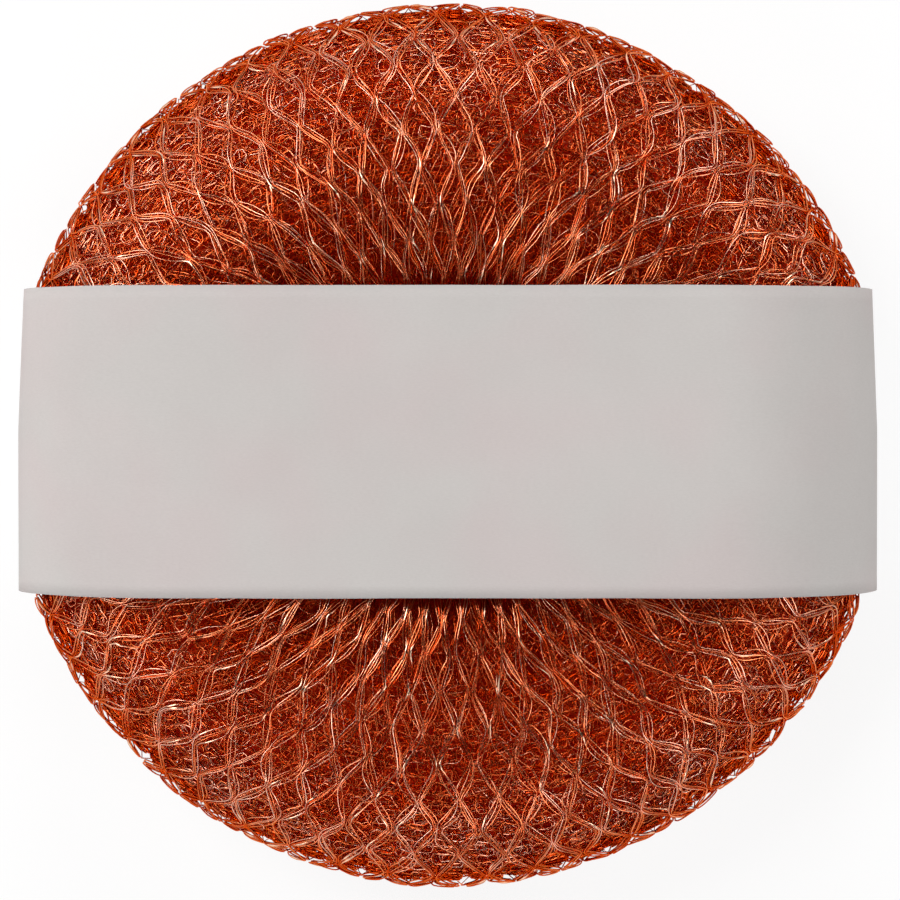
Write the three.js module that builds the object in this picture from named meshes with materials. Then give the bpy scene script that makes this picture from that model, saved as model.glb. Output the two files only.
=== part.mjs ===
// Knitted copper pot scourer in a paper band.
// A knitted wire stocking is rolled up like a sock into a thick ring. Its last turn is drawn over
// the ring as an open net, gathered at the middle of both faces and tied round the neck of the
// gather with wire. A strip of card is wrapped round the pad and glued to itself underneath.
// Millimetres, +Z up. The pad lies flat, with its axis along Z. The band runs round it along X and
// pulls off along Y. The origin is on the table, under the middle of the pad.
import * as THREE from "three";

// Pad: the free outline of the outer net.
const PAD_RADIUS = 60;
const PAD_HEIGHT = 40;
const CROWN_RADIUS = 34; // ring where each face is highest
const DIMPLE_DEPTH = 13; // from the crown down to the gathered middle
const SIDE_PRESS = 1.7; // how far the band presses each side in

// Outer net: a lattice of strands whose gaps are longer than they are wide.
const NET_COLUMNS = 30;
const NET_ROWS = 10; // half gaps from the front gather to the back one, an even number
const STRAND_WIDTH = 1.1;
const STRAND_DEPTH = 0.9;
const LEAST_OPEN_SHARE = 0.4; // of a gap, where the strands crowd

// Gather: the closed middle of the net, and the neck that joins both faces.
const NECK_RADIUS = 3.5;
const GATHER_ROWS = 1; // rows that are drawn shut on each face
const GATHER_THICKNESS = 2;
const GATHER_PIT = 1.5; // hollow in the middle of the gather

// Tie: wire wound round the neck.
const TIE_DIAMETER = 1;
const TIE_PITCH = 1.5; // from one turn to the next
const TIE_TURNS = 2.5;
const TIE_SIDES = 6;
const TIE_STEPS = 16; // in each turn

// Roll: the turns of stocking inside the net.
const ROLL_TURNS = 2.5;
const ROLL_WALL_SHARE = 0.27; // thickness of one turn, of the way from the edge to the middle
const ROLL_SLACK_SHARE = 0.04; // air between turns, of the same way
const ROLL_STEP_IN = 0.2; // last share of a turn, at the hole, where the strip passes under the turn before
const ROLL_POINTS = 18; // along one turn
const ROLL_SEGMENTS = 32; // round the axis
const ROLL_SETTLING = 0.3; // how far the roll has settled away from the net

// Band: a strip of card and the glue in its lap.
const BAND_WIDTH = 41;
const CARD = 0.4;
const LAP = 32; // length of card that lies double
const GLUE = 0.2; // thickness of the glue line
const GLUE_MARGIN = 4; // bare card between the glue and the edges of the lap
const TURN_SEGMENTS = 12; // in each quarter of a side turn

const CLEARANCE = 0.3; // between wire pieces that touch
const BAND_CLEARANCE = 0.4; // between the band and the net

// The table is at zero. The outer flap lies on it, then the glue, the inner flap and the pad.
const OUTER_FLAP_TOP = CARD;
const INNER_FLAP_BASE = OUTER_FLAP_TOP + GLUE;
const INNER_FLAP_TOP = INNER_FLAP_BASE + CARD;
const PAD_MIDDLE = INNER_FLAP_TOP + BAND_CLEARANCE + PAD_HEIGHT / 2;
const BAND_TOP = PAD_MIDDLE + PAD_HEIGHT / 2 + BAND_CLEARANCE + CARD;

const copper = new THREE.MeshStandardMaterial({ color: 0xb4552d, metalness: 1, roughness: 0.35 });
const rolledCopper = new THREE.MeshStandardMaterial({ color: 0x8a3517, metalness: 1, roughness: 0.6 });
const tieCopper = new THREE.MeshStandardMaterial({ color: 0xc0703f, metalness: 1, roughness: 0.3 });
const card = new THREE.MeshStandardMaterial({ color: 0xcfcac7, metalness: 0, roughness: 0.85 });
const glue = new THREE.MeshStandardMaterial({ color: 0xe6dfcb, metalness: 0, roughness: 0.5 });

// Half section of the pad in (radius, height above the middle), from the front neck out over the
// crown and the rim to the back neck. The funnels are parabolas and the rim is half an ellipse.
function padSection() {
  const half = PAD_HEIGHT / 2;
  const neckHeight = half - DIMPLE_DEPTH;
  const bend = (CROWN_RADIUS + NECK_RADIUS) / 2;
  const section = new THREE.Path();
  section.moveTo(NECK_RADIUS, neckHeight);
  section.quadraticCurveTo(bend, half, CROWN_RADIUS, half);
  section.absellipse(CROWN_RADIUS, 0, PAD_RADIUS - CROWN_RADIUS, half, Math.PI / 2, -Math.PI / 2, true);
  section.quadraticCurveTo(bend, -half, NECK_RADIUS, -neckHeight);
  section.arcLengthDivisions = 400;
  return section;
}

const section = padSection();
const sectionLength = section.getLength();
const rowCount = NET_ROWS + 2 * GATHER_ROWS;
const rowShare = 1 / rowCount; // of the section's length
const rowLength = sectionLength * rowShare;

// The point of the section at a share of its length, sunk below the surface by a depth.
function sectionPoint(share, depth = 0) {
  const point = section.getPointAt(share);
  const along = section.getTangentAt(share);
  return new THREE.Vector2(point.x + along.y * depth, point.y - along.x * depth);
}

// The band presses the sides in, more the further they lie beyond the crown.
function pressed(x) {
  const beyond = Math.max(0, (Math.abs(x) - CROWN_RADIUS) / (PAD_RADIUS - CROWN_RADIUS));
  return x - Math.sign(x) * SIDE_PRESS * beyond * beyond;
}

// A section point turned about the axis to an angle, pressed, at its place above the table.
function turned(point, angle) {
  const across = pressed(point.x * Math.cos(angle));
  return new THREE.Vector3(across, point.x * Math.sin(angle), PAD_MIDDLE + point.y);
}

// Collects points and faces for a closed surface.
class Surface {
  constructor() {
    this.positions = [];
    this.faces = [];
  }

  point(p) {
    this.positions.push(p.x, p.y, p.z);
    return this.positions.length / 3 - 1;
  }

  triangle(a, b, c) {
    this.faces.push(a, b, c);
  }

  quad(a, b, c, d) {
    this.faces.push(a, b, c, a, c, d);
  }

  geometry() {
    const made = new THREE.BufferGeometry();
    made.setAttribute("position", new THREE.Float32BufferAttribute(this.positions, 3));
    made.setIndex(this.faces);
    made.computeVertexNormals();
    return made;
  }
}

// Outer net. Each strand has a ridge outside and a flat underside. Knots sit where strands cross,
// staggered from row to row, and each gap is a lozenge between four knots.
function outerNet() {
  const net = new Surface();
  const half = Math.PI / NET_COLUMNS; // half a column, as an angle
  const wrapped = (j) => (j + NET_COLUMNS) % NET_COLUMNS;
  const knotAngle = (i, j) => half * (2 * j + (i % 2));
  const shareOf = (i) => (i + GATHER_ROWS) * rowShare;
  const before = (i, j) => wrapped(i % 2 ? j : j - 1); // knot of the next row half a column back
  const after = (i, j) => wrapped(i % 2 ? j + 1 : j); // and half a column on
  const onSurface = (share, angle, depth) => net.point(turned(sectionPoint(share, depth), angle));
  const eachColumn = (make) => Array.from({ length: NET_COLUMNS }, (_, j) => make(j));

  // Share of a gap's width and length that stays open between its strands.
  function openShare(i) {
    const halfWidth = half * sectionPoint(shareOf(i)).x;
    const slant = Math.hypot(halfWidth, rowLength) / (halfWidth * rowLength);
    return Math.max(LEAST_OPEN_SHARE, 1 - (STRAND_WIDTH / 2) * slant);
  }

  // The four corners of a gap, on the strands' undersides. Gaps of the first and last row are cut
  // short by the edge strand.
  function gapAt(i, j) {
    const open = openShare(i);
    const centre = knotAngle(i, j) + half;
    const edgeShift = (STRAND_WIDTH / 2 / rowLength) * (i === 0 ? 1 : i === NET_ROWS ? -1 : 0);
    const share = shareOf(i) + edgeShift * rowShare;
    const reach = (open - Math.abs(edgeShift)) * half;
    return {
      low: onSurface(share, centre - reach, STRAND_DEPTH),
      high: onSurface(share, centre + reach, STRAND_DEPTH),
      near: i > 0 ? onSurface(shareOf(i) - open * rowShare, centre, STRAND_DEPTH) : null,
      far: i < NET_ROWS ? onSurface(shareOf(i) + open * rowShare, centre, STRAND_DEPTH) : null,
    };
  }

  const rows = Array.from({ length: NET_ROWS + 1 }, (_, i) => i);
  const knots = rows.map((i) => eachColumn((j) => onSurface(shareOf(i), knotAngle(i, j), 0)));
  const gaps = rows.map((i) => eachColumn((j) => gapAt(i, j)));
  const edgeDrop = (STRAND_WIDTH / 2 / rowLength) * rowShare;
  const frontEdge = eachColumn((j) => onSurface(shareOf(0) - edgeDrop, knotAngle(0, j), STRAND_DEPTH));
  const backEdge = eachColumn((j) => onSurface(shareOf(NET_ROWS) + edgeDrop, knotAngle(0, j), STRAND_DEPTH));

  for (const i of rows) {
    for (let j = 0; j < NET_COLUMNS; j += 1) {
      const knot = knots[i][j];
      const above = gaps[i][j];
      const below = gaps[i][wrapped(j - 1)];
      const inner = i > 0 ? gaps[i - 1][before(i, j)].far : frontEdge[j];
      const outer = i < NET_ROWS ? gaps[i + 1][before(i, j)].near : backEdge[j];
      net.quad(outer, below.high, inner, above.low);
      if (i === NET_ROWS) continue;

      // Two strands leave each knot for the next row, with a gap between them and one on each side.
      const between = gaps[i + 1][before(i, j)];
      const up = knots[i + 1][after(i, j)];
      const down = knots[i + 1][before(i, j)];
      net.quad(knot, up, above.far, above.low);
      net.quad(knot, between.near, between.high, up);
      net.quad(above.low, above.far, between.high, between.near);
      net.quad(knot, down, between.low, between.near);
      net.quad(knot, below.high, below.far, down);
      net.quad(between.near, between.low, below.far, below.high);
    }
  }

  // Gathered middles: a pleated funnel on each face, and the neck between their undersides.
  const neckHeight = PAD_HEIGHT / 2 - DIMPLE_DEPTH;
  const neckRing = (height) => eachColumn((j) => net.point(
    turned(new THREE.Vector2(NECK_RADIUS, height), knotAngle(0, j)),
  ));
  const pit = (height) => net.point(new THREE.Vector3(0, 0, PAD_MIDDLE + height));
  const frontTop = neckRing(neckHeight);
  const frontUnder = neckRing(neckHeight - GATHER_THICKNESS);
  const backUnder = neckRing(GATHER_THICKNESS - neckHeight);
  const backTop = neckRing(-neckHeight);
  const frontPit = pit(neckHeight - GATHER_PIT);
  const backPit = pit(GATHER_PIT - neckHeight);
  for (let j = 0; j < NET_COLUMNS; j += 1) {
    const next = wrapped(j + 1);
    const first = gaps[0][j];
    const last = gaps[NET_ROWS][j];
    const [frontKnot, frontNext] = [knots[0][j], knots[0][next]];
    const [backKnot, backNext] = [knots[NET_ROWS][j], knots[NET_ROWS][next]];
    net.quad(frontKnot, first.low, first.high, frontNext);
    net.quad(frontEdge[next], first.high, first.low, frontEdge[j]);
    net.quad(frontTop[j], frontKnot, frontNext, frontTop[next]);
    net.triangle(frontPit, frontTop[j], frontTop[next]);
    net.quad(frontUnder[next], frontEdge[next], frontEdge[j], frontUnder[j]);
    net.quad(backUnder[j], backUnder[next], frontUnder[next], frontUnder[j]);
    net.quad(backEdge[next], backUnder[next], backUnder[j], backEdge[j]);
    net.triangle(backTop[j], backPit, backTop[next]);
    net.quad(backKnot, backTop[j], backTop[next], backNext);
    net.quad(last.low, last.high, backEdge[next], backEdge[j]);
    net.quad(backKnot, backNext, last.high, last.low);
  }
  return net.geometry();
}

// Rolled stocking: a ring whose section is one strip wound inwards from the hole.
function rolledCore() {
  const tightestBend = (PAD_HEIGHT / 2) ** 2 / (PAD_RADIUS - CROWN_RADIUS);
  const strandSag = rowLength ** 2 / (8 * tightestBend); // strands run straight from knot to knot
  const inset = STRAND_DEPTH + strandSag + CLEARANCE + ROLL_SETTLING;
  const holeRadius = NECK_RADIUS + CLEARANCE + TIE_DIAMETER + CLEARANCE;

  const samples = 60;
  const outlinePoints = [];
  for (let k = 0; k <= samples; k += 1) {
    const point = sectionPoint(k / samples, inset);
    if (point.x > holeRadius) outlinePoints.push(point);
  }
  const first = outlinePoints[0];
  const last = outlinePoints[outlinePoints.length - 1];
  const outline = new THREE.Path();
  outline.moveTo(holeRadius, 0);
  outline.lineTo(holeRadius, first.y);
  outlinePoints.forEach((p) => outline.lineTo(p.x, p.y));
  outline.lineTo(holeRadius, last.y);
  outline.lineTo(holeRadius, 0);

  const middle = new THREE.Vector2(CROWN_RADIUS, 0); // the strip winds about the ring below the crown
  const steps = Math.round(ROLL_TURNS * ROLL_POINTS);
  const wound = (step, depth) => {
    const turns = step / ROLL_POINTS;
    const part = turns % 1;
    const layer = turns - part + Math.max(0, (part - 1) / ROLL_STEP_IN + 1);
    const left = 1 - layer * (ROLL_WALL_SHARE + ROLL_SLACK_SHARE) - depth;
    return outline.getPointAt(part).sub(middle).multiplyScalar(left).add(middle);
  };
  const outside = Array.from({ length: steps + 1 }, (_, k) => wound(k, 0));
  const inside = Array.from({ length: steps + 1 }, (_, k) => wound(k, ROLL_WALL_SHARE));
  const strip = [...inside, ...outside.reverse(), inside[0].clone()];
  const made = new THREE.LatheGeometry(strip, ROLL_SEGMENTS);
  made.rotateX(Math.PI / 2);
  const place = made.getAttribute("position");
  for (let k = 0; k < place.count; k += 1) {
    place.setX(k, pressed(place.getX(k)));
  }
  made.translate(0, 0, PAD_MIDDLE);
  return made;
}

// Tie: a helix of wire round the neck, as one unbroken tube.
function centreTie() {
  const radius = NECK_RADIUS + CLEARANCE + TIE_DIAMETER / 2;
  const steps = Math.round(TIE_TURNS * TIE_STEPS);
  const route = [];
  for (let k = 0; k <= steps; k += 1) {
    const turns = k / TIE_STEPS;
    const angle = 2 * Math.PI * turns;
    const height = PAD_MIDDLE + (turns - TIE_TURNS / 2) * TIE_PITCH;
    route.push(new THREE.Vector3(radius * Math.cos(angle), radius * Math.sin(angle), height));
  }
  let leastGap = Infinity;
  for (let a = 0; a < route.length; a += 1) {
    for (let b = a + TIE_STEPS / 2; b < route.length; b += 1) {
      leastGap = Math.min(leastGap, route[a].distanceTo(route[b]) - TIE_DIAMETER);
    }
  }
  console.log(`centre_tie: least gap between turns ${leastGap.toFixed(2)} mm`);

  const wire = new Surface();
  const up = new THREE.Vector3(0, 0, 1);
  const rings = route.map((centre) => {
    const out = new THREE.Vector3(centre.x, centre.y, 0).normalize();
    return Array.from({ length: TIE_SIDES }, (_, s) => {
      const angle = (2 * Math.PI * s) / TIE_SIDES;
      const side = out.clone().multiplyScalar(Math.cos(angle)).addScaledVector(up, Math.sin(angle));
      return wire.point(centre.clone().addScaledVector(side, TIE_DIAMETER / 2));
    });
  });
  const nextSide = (s) => (s + 1) % TIE_SIDES;
  for (let k = 0; k < steps; k += 1) {
    for (let s = 0; s < TIE_SIDES; s += 1) {
      wire.quad(rings[k][s], rings[k + 1][s], rings[k + 1][nextSide(s)], rings[k][nextSide(s)]);
    }
  }
  for (let s = 1; s < TIE_SIDES - 1; s += 1) {
    wire.triangle(rings[0][0], rings[0][s], rings[0][s + 1]);
    wire.triangle(rings[steps][0], rings[steps][s + 1], rings[steps][s]);
  }
  return wire.geometry();
}

// Paper band: one strip, flat over both faces and round at the sides. Its right end lies inside the
// lap and its left end outside, on the table.
function paperBand() {
  const inside = PAD_RADIUS - SIDE_PRESS + BAND_CLEARANCE - CROWN_RADIUS;
  const outside = inside + CARD;
  const quarter = Math.PI / 2;
  const strip = new THREE.Shape();
  const turn = (side, across, up, from, to) => strip.absellipse(
    side * CROWN_RADIUS, PAD_MIDDLE, across, up, from * quarter, to * quarter, from > to,
  );
  strip.moveTo(LAP / 2, 0);
  turn(-1, outside, PAD_MIDDLE, 3, 2);
  turn(-1, outside, BAND_TOP - PAD_MIDDLE, 2, 1);
  turn(1, outside, BAND_TOP - PAD_MIDDLE, 1, 0);
  turn(1, outside, PAD_MIDDLE - INNER_FLAP_BASE, 0, -1);
  strip.lineTo(-LAP / 2, INNER_FLAP_BASE);
  strip.lineTo(-LAP / 2, INNER_FLAP_TOP);
  turn(1, inside, PAD_MIDDLE - INNER_FLAP_TOP, -1, 0);
  turn(1, inside, BAND_TOP - CARD - PAD_MIDDLE, 0, 1);
  turn(-1, inside, BAND_TOP - CARD - PAD_MIDDLE, 1, 2);
  turn(-1, inside, PAD_MIDDLE - OUTER_FLAP_TOP, 2, 3);
  strip.lineTo(LAP / 2, OUTER_FLAP_TOP);
  strip.closePath();
  const made = new THREE.ExtrudeGeometry(strip, {
    depth: BAND_WIDTH,
    bevelEnabled: false,
    curveSegments: TURN_SEGMENTS,
  });
  made.rotateX(Math.PI / 2);
  made.translate(0, BAND_WIDTH / 2, 0);
  return made;
}

// Glue line between the two flaps of the lap.
function glueStrip() {
  const made = new THREE.BoxGeometry(LAP - 2 * GLUE_MARGIN, BAND_WIDTH - 2 * GLUE_MARGIN, GLUE);
  made.translate(0, 0, OUTER_FLAP_TOP + GLUE / 2);
  return made;
}

function piece(name, geometry, material) {
  const mesh = new THREE.Mesh(geometry, material);
  mesh.name = name;
  return mesh;
}

const scourer = new THREE.Group();
scourer.add(
  piece("outer_net", outerNet(), copper),
  piece("rolled_core", rolledCore(), rolledCopper),
  piece("centre_tie", centreTie(), tieCopper),
);

const band = new THREE.Group();
band.add(
  piece("paper_band", paperBand(), card),
  piece("glue_strip", glueStrip(), glue),
);

const potSponge = new THREE.Group();
potSponge.add(scourer, band);

export default potSponge;
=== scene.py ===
# %% [markdown]
# A knitted copper pot scourer in a paper band.
# The real thing is a long stocking of knitted copper wire. It is rolled up into a thick ring, its last
# turn is drawn over the ring as an open net, and that net is gathered and tied at the middle. A strip of
# card goes round the whole pad. This lesson dresses the solid model of those pieces: the solids keep the
# sizes and the motion, and everything made here sits exactly where they are, in metres.

# %% Load the solid model
import math

import bpy
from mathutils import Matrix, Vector, noise


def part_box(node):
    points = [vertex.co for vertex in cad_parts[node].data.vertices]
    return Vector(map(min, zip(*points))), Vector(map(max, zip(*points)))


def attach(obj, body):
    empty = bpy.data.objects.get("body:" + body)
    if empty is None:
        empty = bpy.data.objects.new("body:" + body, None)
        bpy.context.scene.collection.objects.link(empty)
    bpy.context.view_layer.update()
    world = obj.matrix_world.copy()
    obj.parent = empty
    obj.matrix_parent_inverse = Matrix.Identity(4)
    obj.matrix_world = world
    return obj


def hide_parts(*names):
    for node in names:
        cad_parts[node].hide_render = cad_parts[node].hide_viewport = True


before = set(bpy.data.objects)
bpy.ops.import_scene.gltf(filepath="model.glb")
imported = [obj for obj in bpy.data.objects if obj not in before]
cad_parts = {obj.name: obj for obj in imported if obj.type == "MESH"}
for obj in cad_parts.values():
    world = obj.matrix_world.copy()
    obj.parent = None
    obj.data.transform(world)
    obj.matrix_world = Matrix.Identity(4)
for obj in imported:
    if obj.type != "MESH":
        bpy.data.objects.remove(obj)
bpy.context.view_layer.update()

MM = 0.001

# %% [markdown]
# The photograph looks straight down on the face, with the band across the picture. At 900 pixels a side,
# the outline's radius and middle give the camera's distance and place: a long lens, so that the near face
# is only a little larger than the rim behind it. The eye is a few millimetres above the middle, and the
# lens is shifted back by as much.

# %% Camera
PICTURE = 900
OUTLINE_RADIUS_PX = 439.5
OUTLINE_MIDDLE_PX = (448.0, 444.5)
CAMERA_DISTANCE = 430 * MM
EYE_RISE = 8 * MM
SENSOR = 36.0

net_low, net_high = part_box("outer_net")
PAD_RADIUS = net_high.y
PAD_MIDDLE = (net_low.z + net_high.z) / 2
HALF_HEIGHT = (net_high.z - net_low.z) / 2


def new_object(name, data):
    made = bpy.data.objects.new(name, data)
    bpy.context.scene.collection.objects.link(made)
    return made


pixels_per_metre = OUTLINE_RADIUS_PX / PAD_RADIUS
camera_data = bpy.data.cameras.new("camera")
camera_data.sensor_width = SENSOR
camera_data.lens = SENSOR * CAMERA_DISTANCE * pixels_per_metre / PICTURE
camera_data.shift_y = -EYE_RISE * pixels_per_metre / PICTURE
camera = new_object("camera", camera_data)
camera.location = (
    (PICTURE / 2 - OUTLINE_MIDDLE_PX[0]) / pixels_per_metre,
    (OUTLINE_MIDDLE_PX[1] - PICTURE / 2) / pixels_per_metre + EYE_RISE,
    PAD_MIDDLE + CAMERA_DISTANCE,
)
bpy.context.scene.camera = camera
print(f"lens {camera_data.lens:.1f} mm at {CAMERA_DISTANCE / MM:.0f} mm from the middle of the pad")

# %% [markdown]
# Both the geometry and the finishes are worked out by node trees. Writing each Math node by hand hides the
# sum that it stands for, so one small class wraps a socket: ordinary arithmetic on it adds the Math nodes,
# and `add` makes any other node from its type, its settings and what goes into its sockets.

# %% A socket that can be used in sums
class Field:
    def __init__(self, tree, socket=None):
        self.tree = tree
        self.socket = socket

    def add(self, kind, settings=None, inputs=None, out=0):
        node = self.tree.nodes.new(kind)
        for name, value in (settings or {}).items():
            if name == "stops":
                set_stops(node.color_ramp, value)
            else:
                setattr(node, name, value)
        for name, value in (inputs or {}).items():
            target = next(s for s in node.inputs if name in (s.identifier, s.name))
            if isinstance(value, Field):
                self.tree.links.new(value.socket, target)
            else:
                target.default_value = value
        if not node.outputs:
            return node
        picked = node.outputs[out] if isinstance(out, int) else next(
            s for s in node.outputs if s.identifier == out)
        return Field(self.tree, picked)

    def more(self, out):
        """Another output of the node that this socket belongs to."""
        return Field(self.tree, self.socket.node.outputs[out])

    def sum_of(self, operation, *values):
        sockets = ("Value", "Value_001")
        return self.add("ShaderNodeMath", {"operation": operation}, dict(zip(sockets, values)))

    def math(self, operation, *others):
        """A Math node that takes this socket first: SINE, say, or MINIMUM with another value."""
        return self.sum_of(operation, self, *others)

    def vector(self, operation, *values):
        sockets = ("Vector", "Vector_001")
        return self.add("ShaderNodeVectorMath", {"operation": operation}, dict(zip(sockets, values)))

    def __add__(self, other):
        return self.math("ADD", other)

    def __radd__(self, other):
        return self.sum_of("ADD", other, self)

    def __sub__(self, other):
        return self.math("SUBTRACT", other)

    def __rsub__(self, other):
        return self.sum_of("SUBTRACT", other, self)

    def __mul__(self, other):
        return self.math("MULTIPLY", other)

    def __rmul__(self, other):
        return self.sum_of("MULTIPLY", other, self)

    def __truediv__(self, other):
        return self.math("DIVIDE", other)

    def __rtruediv__(self, other):
        return self.sum_of("DIVIDE", other, self)

    def __neg__(self):
        return self.math("MULTIPLY", -1.0)

    def xyz(self):
        parts = self.add("ShaderNodeSeparateXYZ", {}, {"Vector": self})
        return parts, parts.more(1), parts.more(2)

    def pack(self, x, y, z):
        return self.add("ShaderNodeCombineXYZ", {}, {"X": x, "Y": y, "Z": z})

    def remap(self, low, high, to_low, to_high, interpolation_type="LINEAR"):
        return self.add("ShaderNodeMapRange", {"interpolation_type": interpolation_type}, {
            "Value": self, "From Min": low, "From Max": high, "To Min": to_low, "To Max": to_high})

    def noise(self, vector, scale, detail=2.0, out=0):
        return self.add("ShaderNodeTexNoise", {}, {"Vector": vector, "Scale": scale, "Detail": detail}, out)


def set_stops(ramp, stops):
    while len(ramp.elements) < len(stops):
        ramp.elements.new(1.0)
    for element, (place, colour) in zip(ramp.elements, stops):
        element.position = place
        element.color = (*colour, 1.0)


# %% [markdown]
# A finish is a Principled shader with a few sums in front of it. Copper wire is bare metal. On top of the
# pad it shows the lamps, a pale salmon; deep in it, light goes from wire to wire and comes out a dark red
# brown. The wires here are far fewer than the real ones, so reflection alone would not get that far, and
# the base colour itself runs from deep red to pale salmon along each wire.

# %% Finishes
STRETCH_SCALE = 180.0
DASH_SCALE = 380.0
DASH_SHARE = 0.4
ROUGH_SWING = 0.08
GLINT_POLISH = 0.2  # share of the roughness that rolling flat takes away
PALE_COPPER = (1.0, 0.61, 0.48)
GLINT_COPPER = (1.0, 0.64, 0.45)


def new_finish(name, **constants):
    material = bpy.data.materials.new(name)
    material.use_nodes = True
    shader = material.node_tree.nodes["Principled BSDF"]
    for socket, value in constants.items():
        shader.inputs[socket.replace("_", " ")].default_value = value
    return material, Field(material.node_tree), shader


def feed(material, shader, socket, field):
    material.node_tree.links.new(field.socket, shader.inputs[socket])


def copper_finish(name, stops, roughness, coat, glint=None):
    """Drawn copper: each wire has its own tone, with paler stretches and darker ones of painted shade."""
    material, start, shader = new_finish(
        name, Metallic=1.0, Coat_Weight=coat, Coat_Roughness=0.1, Specular_Tint=(1.0, 0.5, 0.3, 1.0))
    place = start.add("ShaderNodeTexCoord", out="Object")
    tone = start.add("ShaderNodeAttribute", {"attribute_name": "tone"}, out="Fac")
    stretches = start.noise(place, STRETCH_SCALE)
    dashes = start.noise(place, DASH_SCALE, 1.0)
    mix = tone + dashes * DASH_SHARE - DASH_SHARE / 2
    colour = start.add("ShaderNodeValToRGB", {"stops": stops}, {"Fac": mix})
    rough = stretches.remap(0.3, 0.7, roughness - ROUGH_SWING, roughness + ROUGH_SWING)
    # A rolled-flat leg takes a paler copper: partly the colour of polished copper, partly painted
    # highlight.
    if glint:
        flat = start.add("ShaderNodeAttribute", {"attribute_name": "flat"}, out="Fac")
        colour = start.add("ShaderNodeMix", {"data_type": "RGBA"}, {
            "Factor_Float": flat, "A_Color": colour, "B_Color": (*glint, 1.0)}, out="Result_Color")
        rough = rough * (1 - flat * GLINT_POLISH)
    feed(material, shader, "Base Color", colour)
    feed(material, shader, "Roughness", rough)
    return material


# The deep red of the lower stops is painted shade: the colour of light gone from wire to wire.
net_copper = copper_finish("net_copper", [
    (0.1, (0.69, 0.078, 0.010)), (0.45, (0.97, 0.30, 0.120)), (0.75, (1.0, 0.52, 0.37)),
    (1.0, PALE_COPPER)], roughness=0.165, coat=0.05, glint=GLINT_COPPER)
# The deeper turns carry more of that painted shade: their stops are redder.
knit_copper = copper_finish("knit_copper", [
    (0.1, (0.74, 0.056, 0.003)), (0.45, (0.93, 0.21, 0.056)), (0.75, (1.0, 0.50, 0.35)),
    (1.0, PALE_COPPER)], roughness=0.17, coat=0.0)
print("copper finishes made:", net_copper.name, "and", knit_copper.name)

# %% [markdown]
# Every layer of wire follows the same half section: out of the tied neck, up the funnel, over the crown,
# round the rim and back in on the far side. It is drawn once as a line of points, and the trees below
# sample it by its length. The wires lie up to two millimetres under it, so it swells a little at the rim.

# %% The pad's half section
CROWN_RADIUS = 34 * MM
DIMPLE_DEPTH = 13 * MM
DIMPLE_CURVE = 2.7
NECK_RADIUS = 3.5 * MM
NECK_STRAIGHT = 0.6  # share of the neck's height where the wires run straight up
THROAT_RADIUS = 2.2 * MM
RIM_SWELL = 1.0 * MM
SECTION_STEPS = 48


def pad_section():
    """Points (radius, height) from the middle of the neck over the front and the rim, and back."""
    neck_height = HALF_HEIGHT - DIMPLE_DEPTH
    front = [(THROAT_RADIUS, 0.0), (THROAT_RADIUS, neck_height * NECK_STRAIGHT)]
    for step in range(SECTION_STEPS + 1):
        t = step / SECTION_STEPS
        radius = NECK_RADIUS + (CROWN_RADIUS - NECK_RADIUS) * t
        front.append((radius, HALF_HEIGHT - DIMPLE_DEPTH * (1 - t) ** DIMPLE_CURVE))
    for step in range(1, SECTION_STEPS + 1):
        angle = math.pi / 2 * (1 - step / SECTION_STEPS)
        front.append((
            CROWN_RADIUS + (PAD_RADIUS + RIM_SWELL - CROWN_RADIUS) * math.cos(angle),
            HALF_HEIGHT * math.sin(angle),
        ))
    back = [(radius, -height) for radius, height in reversed(front[:-1])]
    return [Vector((radius, 0.0, PAD_MIDDLE + height)) for radius, height in front + back]


def section_mesh():
    mesh = bpy.data.meshes.new("section")
    mesh.from_pydata(section, [(k, k + 1) for k in range(len(section) - 1)], [])
    return mesh


section = pad_section()
section_length = sum((b - a).length for a, b in zip(section, section[1:]))
print(f"section {section_length / MM:.1f} mm long")

# %% [markdown]
# A tree of geometry nodes is a recipe with named sizes. `run_tree` sets the sizes by their identifiers
# before the first evaluation, takes the result as a plain mesh, and removes the modifier, so that what is
# left is an ordinary piece at the origin.

# %% Running a tree
def new_tree(name, sizes):
    """A tree with a geometry input, named sizes with their usual values, and one geometry output."""
    tree = bpy.data.node_groups.new(name, "GeometryNodeTree")
    tree.interface.new_socket("Geometry", in_out="INPUT", socket_type="NodeSocketGeometry")
    for label, value in sizes.items():
        kind = {int: "NodeSocketInt", float: "NodeSocketFloat"}.get(type(value), "NodeSocketMaterial")
        socket = tree.interface.new_socket(label, in_out="INPUT", socket_type=kind)
        if value is not None:
            socket.default_value = value
    tree.interface.new_socket("Geometry", in_out="OUTPUT", socket_type="NodeSocketGeometry")
    start = Field(tree)
    entry = tree.nodes.new("NodeGroupInput")
    inputs = {socket.name: Field(tree, socket) for socket in entry.outputs if socket.name}
    return tree, start, inputs


def finish_tree(start, geometry, material):
    whole = start.add("GeometryNodeRealizeInstances", {}, {"Geometry": geometry})
    dressed = start.add("GeometryNodeSetMaterial", {}, {"Geometry": whole, "Material": material})
    start.add("NodeGroupOutput", {}, {"Geometry": dressed})


def run_tree(tree, name, mesh, **sizes):
    piece = new_object(name, mesh)
    modifier = piece.modifiers.new(tree.name, "NODES")
    modifier.node_group = tree
    for item in tree.interface.items_tree:
        label = item.name.replace(" ", "_").lower()
        if item.in_out == "INPUT" and label in sizes:
            modifier[item.identifier] = sizes.pop(label)
    assert not sizes, sizes
    depsgraph = bpy.context.evaluated_depsgraph_get()
    result = bpy.data.meshes.new_from_object(piece.evaluated_get(depsgraph), depsgraph=depsgraph)
    piece.modifiers.clear()
    piece.data = result
    triangles = sum(len(p.vertices) - 2 for p in result.polygons)
    print(f"{name}: {triangles} triangles")
    return piece


# %% [markdown]
# Every wire is laid out by two numbers, how far along the section it is and at which angle round the pad,
# and is then draped at some depth under the surface there. The band presses the two sides of the pad in a
# little, so the drape does that too. A slow drift moves neighbouring wires alike, so that knots stay knots.

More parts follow.
